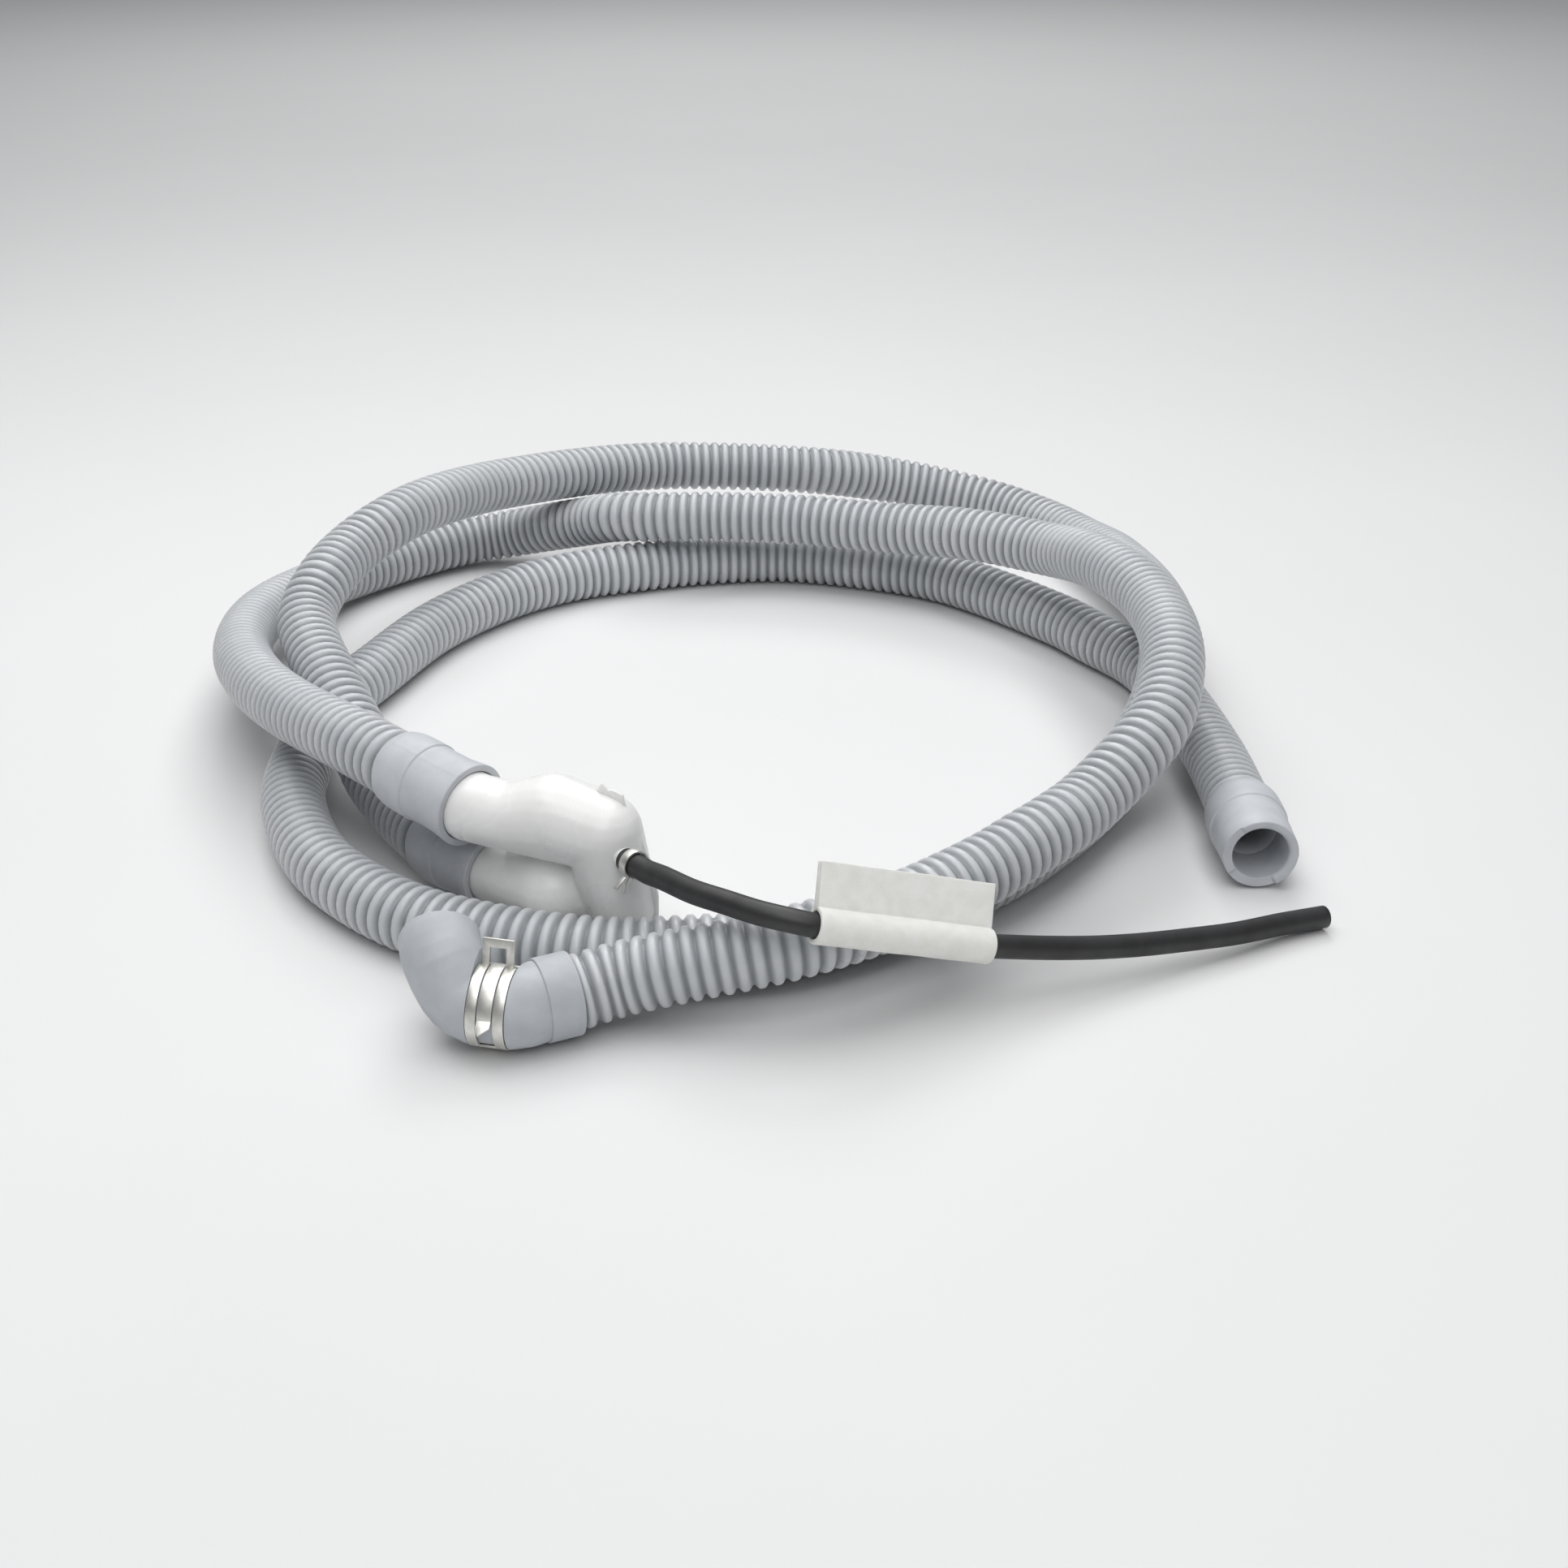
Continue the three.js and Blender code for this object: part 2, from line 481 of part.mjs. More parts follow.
function elbowClamp() {
  const frame = clampFrame();
  const inner = ELBOW_OUTER / 2 - CLAMP_SINK + FIT;
  const outer = inner + CLAMP_THICK;
  const half = CLAMP_WIDTH / 2;
  const tongue = half - CLAMP_RAIL - CLAMP_SLIT;
  const turnedTo = (degrees, x, y) => {
    const turn = new THREE.Matrix4().makeRotationZ(THREE.MathUtils.degToRad(degrees));
    return frame.clone().multiply(turn).multiply(new THREE.Matrix4().setPosition(x, y, 0));
  };
  // Rows of [height over the axis, place along the axis], on a plate that stands on the band.
  const lying = new THREE.Matrix4().makeRotationX(Math.PI / 2);
  const standing = (degrees) => turnedTo(degrees, 0, 0).multiply(lying);
  const top = outer + CLAMP_PLATE;
  const sill = top - CLAMP_BRIDGE;
  const windowHalf = tongue + CLAMP_SLIT;
  const wide = half - 1;
  const windowPlate = [
    [inner, -wide], [top, -wide], [top, wide], [inner, wide],
    [inner, windowHalf], [sill, windowHalf], [sill, -windowHalf], [inner, -windowHalf],
  ];
  const tip = turnedTo(CLAMP_TANG_AT, outer - CLAMP_THICK / 2, 0)
    .multiply(new THREE.Matrix4().makeRotationZ(THREE.MathUtils.degToRad(-48)))
    .multiply(lying);
  const tipOutline = [
    [-0.4, -tongue], [CLAMP_TANG * 0.45, -tongue], [CLAMP_TANG, tongue * 0.4],
    [CLAMP_TANG * 0.6, tongue], [-0.4, tongue],
  ];
  return joined([
    sector(inner, outer, CLAMP_BAND_END, 360 + CLAMP_SLOT_END, -half, half, frame),
    sector(inner, outer, CLAMP_SLOT_END - 2, CLAMP_PLATE_AT, -half, CLAMP_RAIL - half, frame),
    sector(inner, outer, CLAMP_SLOT_END - 2, CLAMP_PLATE_AT, half - CLAMP_RAIL, half, frame),
    sector(inner, outer, CLAMP_TANG_AT, CLAMP_BAND_END + 2, -tongue, tongue, frame),
    plate(windowPlate, CLAMP_THICK, standing(CLAMP_PLATE_AT)),
    plate(tipOutline, CLAMP_THICK, tip),
  ]);
}

// The assembly

const assembly = new THREE.Group();
assembly.add(
  meshOf('drain_hose_long', longHose(), hosePlastic),
  meshOf('drain_hose_short', shortHose(), hosePlastic),
  meshOf('outlet_cuff', outletCuff(), rubber),
  meshOf('chamber_cuff_upper', portCuff(UPPER_PORT), rubber),
  meshOf('chamber_cuff_lower', portCuff(LOWER_PORT), rubber),
  meshOf('air_break_chamber', airBreakChamber(), blownPlastic),
  meshOf('vent_tube', ventTube(), blackRubber),
  meshOf('vent_tube_clip', ventClip(), springSteel),
  meshOf('felt_pad', feltPad(), felt),
  meshOf('machine_elbow', machineElbow(), elbowRubber),
  meshOf('elbow_clamp', elbowClamp(), springSteel),
);

export default assembly;
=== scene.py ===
from math import asin, ceil, cos, pi, radians, sin, sqrt

import bmesh
import bpy
from mathutils import Matrix, Vector, noise


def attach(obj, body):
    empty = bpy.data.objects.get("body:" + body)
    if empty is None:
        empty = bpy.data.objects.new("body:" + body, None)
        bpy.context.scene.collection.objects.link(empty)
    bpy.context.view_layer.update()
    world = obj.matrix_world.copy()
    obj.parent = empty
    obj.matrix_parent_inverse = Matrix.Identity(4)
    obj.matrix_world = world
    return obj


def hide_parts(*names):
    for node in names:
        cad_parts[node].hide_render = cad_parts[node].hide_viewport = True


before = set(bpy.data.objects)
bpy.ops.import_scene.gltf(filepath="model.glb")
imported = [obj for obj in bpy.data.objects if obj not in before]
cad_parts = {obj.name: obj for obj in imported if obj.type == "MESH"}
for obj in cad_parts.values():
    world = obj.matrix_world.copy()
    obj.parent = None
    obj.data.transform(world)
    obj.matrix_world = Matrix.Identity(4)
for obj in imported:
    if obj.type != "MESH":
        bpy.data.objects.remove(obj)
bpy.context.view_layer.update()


# The camera
# It stands low in front of the coil, at the photograph's height and tilt. Lengths in this
# file are millimetres from the corner that the routes start from, until placed() moves them
# to the frame's origin and turns them into metres.

MIDDLE = Vector((1.49, -2.28, 0.05))


def placed(rows):
    return [(Vector(row) - MIDDLE) / 1000 for row in rows]


camera = bpy.data.objects.new("camera", bpy.data.cameras.new("camera"))
camera.data.sensor_width = 36
camera.data.lens = 46.58
camera.location = placed([(31, -843, 378)])[0]
camera.rotation_euler = (radians(64.1), 0, 0)
bpy.context.scene.collection.objects.link(camera)
bpy.context.scene.camera = camera


# The two corrugated hoses
# Light grey polypropylene, blown into closely spaced round ribs, so that it bends freely.
# One long hose and one short, each pushed into rubber at both ends.

HOSE_OUTER = 26
HOSE_BORE = 20.4
RIB_PITCH = 5.5
RIB_DEPTH = 1.9
CUFF_LENGTH = 38
CUFF_SEAT = 17
FIT = 0.3
HOSE_LEAD = 3
ELBOW_SEAT = 10
TUBE_SIDES = 26
VALLEY_POWER = 2.2  # above 1 the crests are broad and the valleys narrow

OUTLET = (Vector((213, -158.4, 15.7)), Vector((0, -1, 0)))
UPPER_PORT = (Vector((-82.5, -184.5, 49.5)), Vector((0.77, -0.63, -0.11)).normalized())
LOWER_PORT = (Vector((-75.5, -177.5, 18.5)), Vector((0.72, -0.69, 0)).normalized())
ELBOW_FACE = Vector((-40.1, -258.6, 16))
COLLAR_ROOT = Vector((-50.9, -263.4, 15.8))
ELBOW_AXIS = (COLLAR_ROOT - ELBOW_FACE).normalized()

LONG_ROUTE = [
    (213, -62, 13.5), (206, 8, 13), (197, 42, 13), (181, 70, 13), (167, 94, 13),
    (116, 153, 13), (76, 174, 13), (31, 186, 13), (-14, 181, 13), (-55, 168, 13),
    (-76, 159, 13), (-107, 134, 13), (-138, 88, 13), (-160, 25, 13), (-173, -19, 13),
    (-172, -63, 13), (-169, -101, 13), (-157, -138, 13), (-141, -167, 13),
    (-108, -200, 13), (-77, -216, 13), (-34, -227, 13), (-2, -226, 13), (35, -219, 13),
    (71, -198, 13), (108, -170, 13), (136, -137, 13), (153, -112, 13), (172, -86, 20),
    (189, -58, 32), (204, 12, 41), (203, 141, 27), (193, 190, 20), (178, 226, 18),
    (160, 248, 19), (138, 261, 22), (94, 267, 30), (49, 254, 40), (-41, 240, 47),
    (-113, 174, 58), (-145, 114, 66), (-159, 83, 66), (-171, 59, 62), (-179, 29, 57),
    (-182, 4, 48.5), (-161, -48, 37.2), (-147, -75, 29), (-135, -100, 20.3),
    (-119, -127, 17.5),
]
SHORT_ROUTE = [
    (-26, -254, 18.2), (-5, -252.6, 22.8), (35, -246.8, 29), (70, -229.5, 31.6),
    (103.7, -203, 34), (117, -191, 36), (131, -178, 38), (145, -162, 40),
    (175, -126, 54), (184, -102, 60), (190, -72, 64.5), (191, -24, 65), (184, 12, 65),
    (173, 52, 60), (159, 88, 52), (123, 122, 48), (85, 146, 43), (43, 163, 41.5),
    (1, 170, 41), (-34, 173, 40), (-56, 180, 37.6), (-78, 197, 29), (-119, 215, 16.5),
    (-147, 207, 14), (-196, 153, 15), (-215, 85, 25), (-217, 39, 31), (-208, -12, 37),
    (-189, -58, 43), (-167.8, -92.9, 47.5), (-148, -120, 51.5), (-129, -143, 54),
]


def smooth_route(points, step=3.0):
    """A smooth curve through the points, as a line of short pieces."""
    points = [Vector(point) for point in points]
    ends = [2 * points[0] - points[1], *points, 2 * points[-1] - points[-2]]
    line = []
    for a, b, c, d in zip(ends, ends[1:], ends[2:], ends[3:]):
        t0, t1, t2 = (sqrt((q - p).length) for p, q in ((a, b), (b, c), (c, d)))
        leave = t1 * ((b - a) / t0 - (c - a) / (t0 + t1) + (c - b) / t1)
        arrive = t1 * ((c - b) / t1 - (d - b) / (t1 + t2) + (d - c) / t2)
        square = 3 * (c - b) - 2 * leave - arrive
        cube = 2 * (b - c) + leave + arrive
        count = ceil((c - b).length / step)
        for t in (i / count for i in range(count)):
            line.append(b + leave * t + square * t**2 + cube * t**3)
    return line + [points[-1]]


def before_mouth(seat, distance):
    mouth, axis = seat
    return mouth - axis * distance


def paint(code):
    """An sRGB hex colour as linear RGBA."""
    parts = [int(code[i : i + 2], 16) / 255 for i in (1, 3, 5)]
    linear = [c / 12.92 if c <= 0.04045 else ((c + 0.055) / 1.055) ** 2.4 for c in parts]
    return (*linear, 1)


def add(tree, kind, inputs=(), **settings):
    """A node with its settings; inputs go to its sockets in order, or by name or number."""
    node = tree.nodes.new(kind)
    for name, value in settings.items():
        setattr(node, name, value)
    for socket, value in inputs.items() if isinstance(inputs, dict) else enumerate(inputs):
        if isinstance(value, bpy.types.Node):
            value = value.outputs[0]
        if isinstance(value, bpy.types.NodeSocket):
            tree.links.new(value, node.inputs[socket])
        else:
            node.inputs[socket].default_value = value
    return node


def ribbed_tube():
    """A tube with ribs along a line of edges: outside, bore and both ends closed."""
    tree = bpy.data.node_groups.new("ribbed tube", "GeometryNodeTree")
    tree.interface.new_socket("Line", in_out="INPUT", socket_type="NodeSocketGeometry")
    for name in ("Outer Radius", "Bore Radius", "Rib Pitch", "Rib Depth"):
        tree.interface.new_socket(name, in_out="INPUT", socket_type="NodeSocketFloat")
    for name in ("Ring Step", "Bore Step"):
        tree.interface.new_socket(name, in_out="INPUT", socket_type="NodeSocketFloat")
    tree.interface.new_socket("Sides", in_out="INPUT", socket_type="NodeSocketInt")
    tree.interface.new_socket("Material", in_out="INPUT", socket_type="NodeSocketMaterial")
    tree.interface.new_socket("Tube", in_out="OUTPUT", socket_type="NodeSocketGeometry")
    given = add(tree, "NodeGroupInput").outputs
    math = "ShaderNodeMath"
    line = add(tree, "GeometryNodeMeshToCurve", {"Mesh": given["Line"]})
    length = add(tree, "GeometryNodeCurveLength", [line])

    # Rings run out along the outside and back along the bore; the last repeats the first.
    outer_steps = add(tree, math, [length, given["Ring Step"]], operation="DIVIDE")
    outer = add(tree, math, [outer_steps], operation="CEIL")
    bore_steps = add(tree, math, [length, given["Bore Step"]], operation="DIVIDE")
    bore = add(tree, math, [bore_steps], operation="CEIL")
    turn = add(tree, math, [outer, 1], operation="ADD")
    home = add(tree, math, [turn, bore], operation="ADD")
    loop = add(tree, math, [home, 1], operation="ADD")
    rings = add(tree, math, [loop, 1], operation="ADD")
    row = add(tree, math, [given["Sides"], 1], operation="ADD")
    grid = add(tree, "GeometryNodeMeshGrid", {"Vertices X": rings, "Vertices Y": row})
    index = add(tree, "GeometryNodeInputIndex")
    side = add(tree, math, [index, row], operation="MODULO")
    share = add(tree, math, [index, row], operation="DIVIDE")
    count = add(tree, math, [share], operation="FLOOR")
    ring = add(tree, math, [count, loop], operation="MODULO")
    outside = add(tree, math, [ring, turn], operation="LESS_THAN")
    out = {"Value": ring, "From Max": outer, "To Max": length}
    there = add(tree, "ShaderNodeMapRange", out)
    inward = {"Value": ring, "From Min": turn, "From Max": home, "To Min": length, "To Max": 0}
    back = add(tree, "ShaderNodeMapRange", inward)
    reach = add(tree, "ShaderNodeMix", {0: outside, 2: back, 3: there})

    # A rib is round on top and falls into a narrow valley.
    rib = add(tree, math, [reach, given["Rib Pitch"]], operation="DIVIDE")
    phase = add(tree, math, [rib, 2 * pi], operation="MULTIPLY")
    wave = add(tree, math, [phase], operation="COSINE")
    low = add(tree, "ShaderNodeMapRange", {"Value": wave, "From Min": 1, "From Max": -1})
    valley = add(tree, math, [low, VALLEY_POWER], operation="POWER")
    dip = add(tree, math, [valley, given["Rib Depth"]], operation="MULTIPLY")
    skin = add(tree, math, [given["Outer Radius"], dip], operation="SUBTRACT")
    radius = add(tree, "ShaderNodeMix", {0: outside, 2: given["Bore Radius"], 3: skin})

    round_way = {"Value": side, "From Max": given["Sides"], "To Max": 2 * pi}
    angle = add(tree, "ShaderNodeMapRange", round_way)
    sample = {"Curves": line, "Length": reach}
    at = add(tree, "GeometryNodeSampleCurve", sample, mode="LENGTH").outputs
    turned = {"Vector": at["Normal"], "Axis": at["Tangent"], "Angle": angle}
    arm = add(tree, "ShaderNodeVectorRotate", turned, rotation_type="AXIS_ANGLE")
    full = add(tree, "ShaderNodeVectorMath", {0: arm, "Scale": radius}, operation="SCALE")
    spot = add(tree, "ShaderNodeVectorMath", [at["Position"], full], operation="ADD")
    around = add(tree, math, [angle, given["Outer Radius"]], operation="MULTIPLY")
    flat = add(tree, "ShaderNodeCombineXYZ", [reach, around])
    keep = add(tree, "GeometryNodeCaptureAttribute", {"Geometry": grid})
    keep.capture_items.new("VECTOR", "flat")
    keep.capture_items.new("FLOAT", "valley")
    tree.links.new(flat.outputs[0], keep.inputs["flat"])
    tree.links.new(valley.outputs[0], keep.inputs["valley"])
    moved = add(tree, "GeometryNodeSetPosition", {"Geometry": keep, "Position": spot})
    dips = {"Geometry": moved, "Name": "valley", "Value": keep.outputs["valley"]}
    dipped = add(tree, "GeometryNodeStoreNamedAttribute", dips, data_type="FLOAT")
    uv = add(
        tree,
        "GeometryNodeStoreNamedAttribute",
        {"Geometry": dipped, "Name": "UVMap"},
        data_type="FLOAT2",
        domain="CORNER",
    )
    tree.links.new(keep.outputs["flat"], uv.inputs["Value"])
    welded = add(tree, "GeometryNodeMergeByDistance", {"Geometry": uv, "Distance": 1e-6})
    smooth = add(tree, "GeometryNodeSetShadeSmooth", [welded])
    real = add(tree, "GeometryNodeRealizeInstances", [smooth])
    coat = {"Geometry": real, "Material": given["Material"]}
    add(tree, "NodeGroupOutput", [add(tree, "GeometryNodeSetMaterial", coat)])
    return tree


RIBBED_TUBE = ribbed_tube()


def plain(piece):
    """Keeps what the modifiers make as a plain mesh."""
    evaluated = piece.evaluated_get(bpy.context.evaluated_depsgraph_get())
    mesh = bpy.data.meshes.new_from_object(evaluated)
    piece.modifiers.clear()
    piece.data = mesh
    return piece


def outward(piece):
    work = bmesh.new()
    work.from_mesh(piece.data)
    bmesh.ops.recalc_face_normals(work, faces=work.faces)
    work.to_mesh(piece.data)
    work.free()
    return piece


def tube_along(name, line, coat, sizes):
    """Runs the ribbed tube along a line; sizes are millimetres."""
    edges = bpy.data.meshes.new(name)
    edges.from_pydata(placed(line), [(i, i + 1) for i in range(len(line) - 1)], [])
    piece = bpy.data.objects.new(name, edges)
    bpy.context.scene.collection.objects.link(piece)
    modifier = piece.modifiers.new("tube", "NODES")
    modifier.node_group = RIBBED_TUBE
    for item in RIBBED_TUBE.interface.items_tree:
        if item.name in sizes:
            modifier[item.identifier] = sizes[item.name] / 1000
        if item.name == "Sides":
            modifier[item.identifier] = TUBE_SIDES
        if item.name == "Material":
            modifier[item.identifier] = coat
    return outward(plain(piece))


def finished(piece, slot, *nodes):
    """Rides on the part's only body, in place of its solids."""
    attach(piece, "root")
    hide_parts(*nodes)
    return piece


def surface(name, dark, light, patch, grain, relief, roughness):
    """Soft patches of two shades under a fine grain; patch, grain and relief in millimetres."""
    made = bpy.data.materials.new(name)
    made.use_nodes = True
    tree = made.node_tree
    shader = tree.nodes["Principled BSDF"]
    place = add(tree, "ShaderNodeTexCoord").outputs["Object"]
    cloud = {"Vector": place, "Scale": 1000 / patch, "Detail": 5}
    patches = add(tree, "ShaderNodeTexNoise", cloud)
    spread = {"Value": patches, "From Min": 0.36, "From Max": 0.64}
    shade = add(tree, "ShaderNodeMapRange", spread)
    colours = {0: shade, 6: paint(dark), 7: paint(light)}
    tint = add(tree, "ShaderNodeMix", colours, data_type="RGBA").outputs[2]
    fine = {"Vector": place, "Scale": 1000 / grain, "Detail": 3}
    grains = add(tree, "ShaderNodeTexNoise", fine)
    bump = add(tree, "ShaderNodeBump", {"Height": grains, "Distance": relief / 1000})
    limits = {"To Min": roughness + 0.05, "To Max": roughness - 0.05}
    gloss = add(tree, "ShaderNodeMapRange", {"Value": shade, **limits})
    tree.links.new(tint, shader.inputs["Base Color"])
    tree.links.new(bump.outputs[0], shader.inputs["Normal"])
    tree.links.new(gloss.outputs[0], shader.inputs["Roughness"])
    return made, tree, shader, tint


def blown_polypropylene():
    """Corrugated hose: satin, with painted shade that darkens the valleys between the ribs."""
    made, tree, shader, tint = surface(
        "blown polypropylene", "#c2c5c8", "#cbcdd0", patch=30, grain=1.2, relief=0.02,
        roughness=0.31,
    )
    valley = add(tree, "ShaderNodeAttribute", attribute_name="valley").outputs["Fac"]
    # Painted shade: the deeper a point lies in a valley between ribs, the more its colour is
    # darkened toward dark grey.
    valley_shade = add(tree, "ShaderNodeMath", [valley, 0.85], operation="MULTIPLY")
    colours = {0: valley_shade, 6: tint, 7: paint("#6d7174")}
    valley_shaded_tint = add(tree, "ShaderNodeMix", colours, data_type="RGBA").outputs[2]
    tree.links.new(valley_shaded_tint, shader.inputs["Base Color"])
    return made


hose_coat = blown_polypropylene()
HOSE_SIZES = {
    "Outer Radius": HOSE_OUTER / 2,
    "Bore Radius": HOSE_BORE / 2,
    "Rib Pitch": RIB_PITCH,
    "Rib Depth": RIB_DEPTH,
    "Ring Step": RIB_PITCH / 8,
    "Bore Step": 2 * RIB_PITCH,
}
HOSE_END = CUFF_LENGTH - CUFF_SEAT + FIT  # from a cuff's mouth back to the hose's end in it
CUFF_RIM = CUFF_LENGTH + HOSE_LEAD

long_line = [
    before_mouth(LOWER_PORT, HOSE_END),
    *smooth_route(
        [before_mouth(LOWER_PORT, CUFF_RIM), *LONG_ROUTE[::-1], before_mouth(OUTLET, CUFF_RIM)]
    ),
    before_mouth(OUTLET, HOSE_END),
]
short_line = [
    before_mouth(UPPER_PORT, HOSE_END),
    *smooth_route(
        [
            before_mouth(UPPER_PORT, CUFF_RIM),
            *SHORT_ROUTE[::-1],
            ELBOW_FACE - ELBOW_AXIS * HOSE_LEAD,
        ]
    ),
    ELBOW_FACE + ELBOW_AXIS * (ELBOW_SEAT - FIT),
]
long_hose = tube_along("long_hose", long_line, hose_coat, HOSE_SIZES)
finished(long_hose, "hose_plastic", "drain_hose_long")
short_hose = tube_along("short_hose", short_line, hose_coat, HOSE_SIZES)
finished(short_hose, "hose_plastic", "drain_hose_short")


# The three rubber cuffs
# Matte grey moulded rubber, each stretched over the end of a hose. The outlet's end face is
# stepped; the other two flare over the ports of the air break.

CUFF_BACK = [
    (13.3, CUFF_SEAT), (13.3, 0), (14.25, 0), (15.2, 4), (15.4, 9), (15.4, 15.8), (14.7, 16.3),
]
OUTLET_FACE = 38.8
OUTLET_FRONT = [
    (14.6, 26.6), (14.35, OUTLET_FACE), (11.95, OUTLET_FACE), (10.75, 37.6), (10.75, CUFF_SEAT),
]
PORT_FRONT = [(14.9, 28.5), (16.0, 38), (13.3, 38), (13.3, 21), (10.75, 21), (10.75, CUFF_SEAT)]
UP = Vector((0, 0, 1))
SEAM = 0.16
SEAM_FROM = 13.9  # only the skin outside this radius shows a seam
FACE_CUTS = [(35, 128, 0.8), (127, 210, 1.6)]  # from and to in degrees from the top, depth
CUFF_SIDES = 144
CUFF_EDGE = 0.7


def object_of(name, corners, faces):
    mesh = bpy.data.meshes.new(name)
    mesh.from_pydata(placed(corners), [], faces)
    piece = bpy.data.objects.new(name, mesh)
    bpy.context.scene.collection.objects.link(piece)
    return outward(piece)


def frame_at(origin, axis, hint):
    """A local frame: Z runs along the axis, X is as near as it can be to the hint."""
    side = (hint - axis * hint.dot(axis)).normalized()
    turn = Matrix((side, axis.cross(side), axis)).transposed()
    return Matrix.Translation(origin) @ turn.to_4x4()


def rounded(profile, size, steps=4):
    """The closed profile with every corner cut by a small arc."""
    corners = [Vector(corner) for corner in profile]
    result = []
    for before, corner, after in zip(corners[-1:] + corners, corners, corners[1:] + corners[:1]):
        cut = min(size, 0.4 * (before - corner).length, 0.4 * (after - corner).length)
        start = corner + (before - corner).normalized() * cut
        end = corner + (after - corner).normalized() * cut
        for t in (i / steps for i in range(steps + 1)):
            result.append(start * (1 - t) ** 2 + corner * 2 * t * (1 - t) + end * t**2)
    return result


def turned(name, profile, place, sides, shape=lambda radius, height, angle: (radius, height)):
    """A closed profile of (radius, height) turned about the local Z axis."""
    corners = []
    for angle in (2 * pi * i / sides for i in range(sides)):
        for radius, height in profile:
            radius, height = shape(radius, height, angle)
            corners.append(place @ Vector((radius * cos(angle), radius * sin(angle), height)))
    count = len(profile)
    faces = []
    for i in range(sides):
        here, there = i * count, (i + 1) % sides * count
        for j in range(count):
            k = (j + 1) % count
            faces.append((here + j, here + k, there + k, there + j))
    return object_of(name, corners, faces)


def soft_edged(piece, coat):
    """Smooth shading that keeps flat faces flat beside their small round edges."""
    piece.data.shade_smooth()
    piece.modifiers.new("flats", "WEIGHTED_NORMAL")
    plain(piece)
    piece.data.materials.append(coat)
    return piece


def seamed(radius, height, angle, at=pi / 8):
    """A fine ridge on both sides, where the halves of the mould met."""
    off = abs(angle % pi - at)
    return radius + SEAM * max(0, 1 - off / radians(3)) * (radius > SEAM_FROM), height


def stepped(radius, height, angle):
    """The outlet's end face, in three sectors that are one step apart."""
    limit = OUTLET_FACE
    for start, end, depth in FACE_CUTS:
        if radians(start) < angle < radians(end):
            limit = OUTLET_FACE - depth
    return seamed(radius, min(height, limit), angle, at=pi / 2)


def moulded_rubber():
    """Cuffs: matte, with a faint bloom in patches and the fine grain of the mould."""
    return surface(
        "moulded rubber", "#c0c3c8", "#c8cbcf", patch=9, grain=0.7, relief=0.03, roughness=0.55
    )[0]


def cuff_at(name, seat, front, shape, node):
    back = before_mouth(seat, CUFF_LENGTH)
    profile = rounded([*CUFF_BACK, *front], CUFF_EDGE)
    piece = turned(name, profile, frame_at(back, seat[1], UP), CUFF_SIDES, shape)
    return finished(soft_edged(piece, cuff_coat), "cuff_rubber", node)


cuff_coat = moulded_rubber()
outlet = cuff_at("outlet_end", OUTLET, OUTLET_FRONT, stepped, "outlet_cuff")
cuff_at("upper_cuff", UPPER_PORT, PORT_FRONT, seamed, "chamber_cuff_upper")
cuff_at("lower_cuff", LOWER_PORT, PORT_FRONT, seamed, "chamber_cuff_lower")


# The air break chamber
# Glossy white polyethylene, blown in one piece: two lobes with a port each, a pinched web
# between them, a ragged fin of flash on the parting line and a nipple for the vent tube.

BODY_ORIGIN = Vector((-79, -182, 0))
BODY_ALONG = Vector((0.948, -0.318, 0)).normalized()
BODY_BEHIND = UP.cross(BODY_ALONG)
LOBES = [
    [(16, -6.5, 49.3, 12.7), (31, -4.5, 51.6, 15.3), (49, -3, 47, 14.5)],
    [(49, -3, 47, 14.5), (54.5, -1, 18.5, 13.5)],
    [(14, 0, 18.5, 12.5), (28, -2.5, 19.5, 15.6)],
    [(27, 1, 19.5, 10), (54.5, -1, 18.5, 10)],
]
PORT_RADIUS = 13
PORT_SHOULDER = 2
WEB_THICK = 3
WEB_OUTLINE = [(10, 27), (46, 27), (46, 42), (10, 42)]
FLASH_THICK = 1.2
FLASH_OUTLINE = [
    (40, 60), (44, 63.5), (47, 62.8), (49, 66), (51.5, 63.6), (53, 64), (57, 62.5),
    (57.4, 59.6), (60, 51), (64.4, 44), (67.5, 34), (69.3, 24), (69, 14), (66, 9),
    (60, 12), (58, 40), (48, 50),
]
NIPPLE = frame_at(
    Vector((-24.5, -214, 43.1)), Vector((0.62, -0.78, 0.05)).normalized(), UP
)
NIPPLE_PROFILE = [(1.3, -5), (3.7, -5), (3.7, -0.3), (2.4, -0.3), (2.4, 14), (1.3, 14)]


def ball(centre, radius, rows=12):
    """Points all over a ball."""
    points = []
    for i in range(rows + 1):
        tilt = pi * i / rows
        for j in range(2 * rows):
            turn = pi * j / rows
            spot = Vector((sin(tilt) * cos(turn), sin(tilt) * sin(turn), cos(tilt)))
            points.append(centre + spot * radius)
    return points


def disc(place, radius, height=0, sides=48):
    turns = (2 * pi * i / sides for i in range(sides))
    return [place @ Vector((radius * cos(a), radius * sin(a), height)) for a in turns]


def hulls(name, groups):
    """The hull of each group of points, all in one mesh."""
    whole = bmesh.new()
    for group in groups:
        part = bmesh.new()
        for point in placed(group):
            part.verts.new(point)
        made = bmesh.ops.convex_hull(part, input=part.verts)
        spare = {e for e in made["geom_interior"] if isinstance(e, bmesh.types.BMVert)}
        bmesh.ops.delete(part, geom=list(spare), context="VERTS")
        bmesh.ops.recalc_face_normals(part, faces=part.faces)
        mesh = bpy.data.meshes.new(name)
        part.to_mesh(mesh)
        whole.from_mesh(mesh)
        part.free()
        bpy.data.meshes.remove(mesh)
    mesh = bpy.data.meshes.new(name)
    whole.to_mesh(mesh)
    whole.free()
    piece = bpy.data.objects.new(name, mesh)
    bpy.context.scene.collection.objects.link(piece)
    return piece


